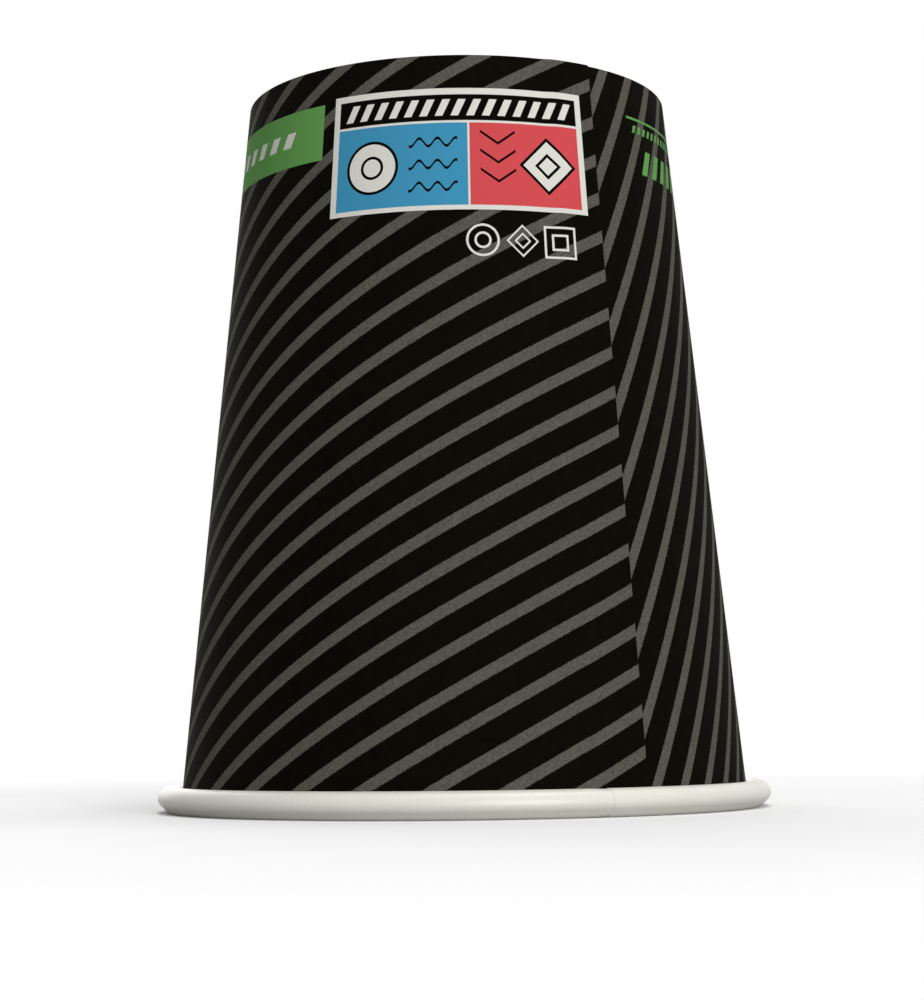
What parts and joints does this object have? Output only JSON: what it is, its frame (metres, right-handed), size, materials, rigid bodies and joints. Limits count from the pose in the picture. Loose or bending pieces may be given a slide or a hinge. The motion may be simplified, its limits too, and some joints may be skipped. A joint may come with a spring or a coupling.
{
  "type": "paper cup",
  "caption": "Tapered single-wall paper cup stored mouth down, with a rolled rim, lapped side seam and recessed bottom disc.",
  "frame": {"origin": "on the table under the middle of the rolled rim, which the cup stands on mouth down", "axes": "+Z along the cup's axis from the mouth to the base; -Y towards the camera of the picture"},
  "size_m": [0.08, 0.08, 0.0925],
  "materials": {
    "printed_board": "matt printed stripes on white board, satin coating inside",
    "white_board": "white board with a satin coating"
  },
  "bodies": {
    "root": {"side_wall": "printed_board", "bottom_disc": "white_board"}
  },
  "joints": []
}
